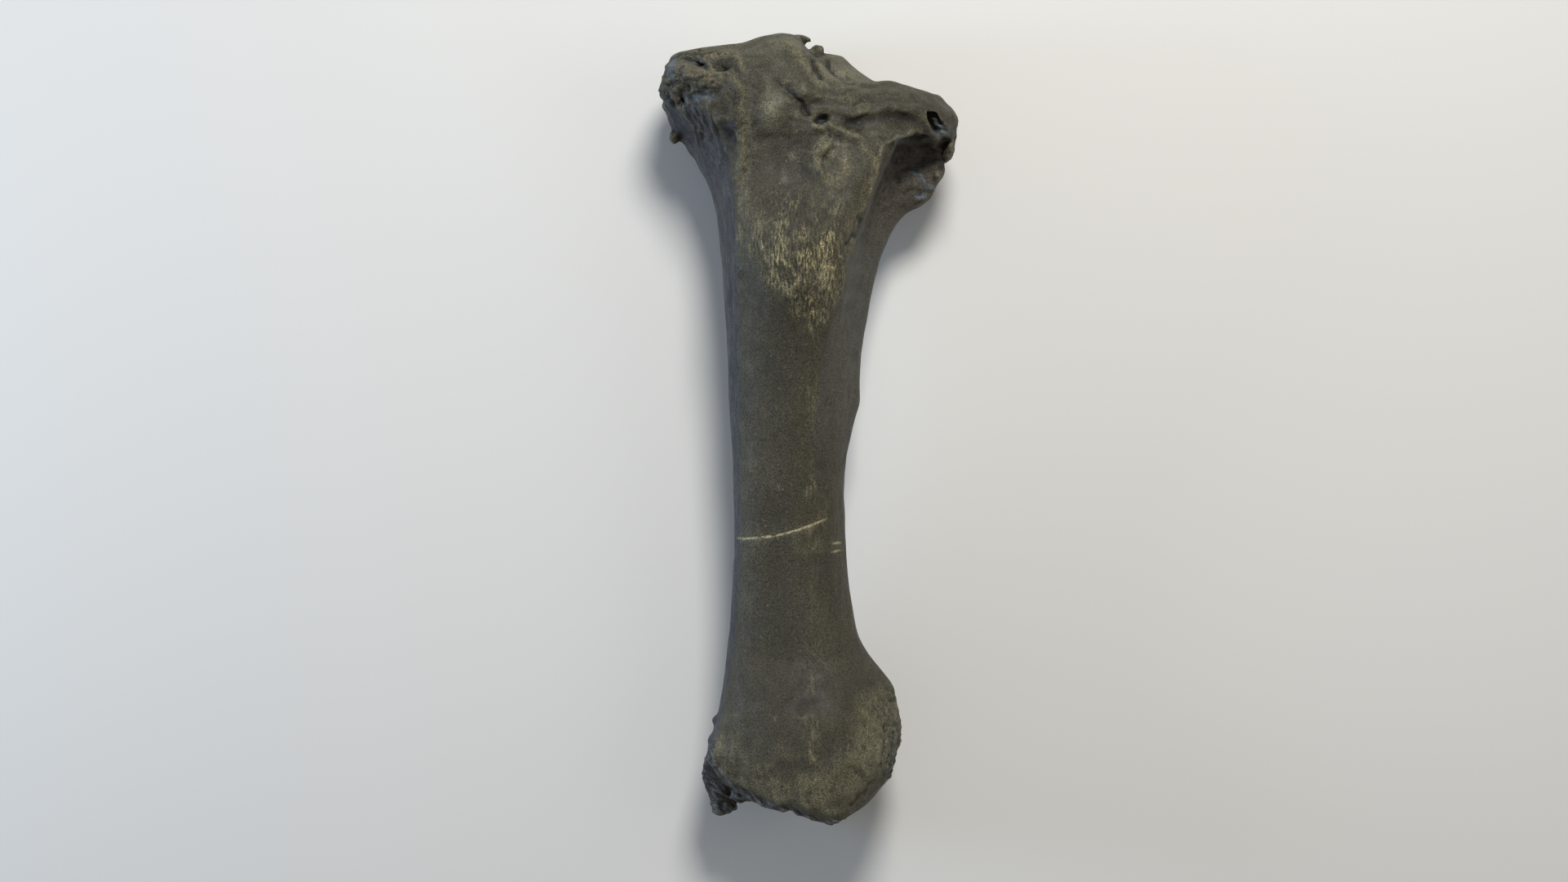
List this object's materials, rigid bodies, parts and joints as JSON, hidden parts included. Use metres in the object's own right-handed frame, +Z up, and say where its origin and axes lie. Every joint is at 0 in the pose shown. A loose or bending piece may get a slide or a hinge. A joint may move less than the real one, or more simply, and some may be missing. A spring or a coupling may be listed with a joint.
{
  "type": "fossil mastodon tibia",
  "caption": "Fossil mastodon shin bone with a broad knee end, rough tuberosity, slim shaft and flared ankle end, lying on its back.",
  "frame": {"origin": "on the surface that the bone lies on, under the centre of its bounding box", "axes": "+X from the inner (medial) to the outer (lateral) side, +Y from the ankle end to the knee end, +Z up, out of the front of the bone"},
  "size_m": [0.2667, 0.6999, 0.1764],
  "materials": {
    "fossil_bone": "semi-matte dark grey-brown fossil bone, with yellowish rough patches"
  },
  "bodies": {
    "root": {"tibia": "fossil_bone"}
  },
  "joints": []
}
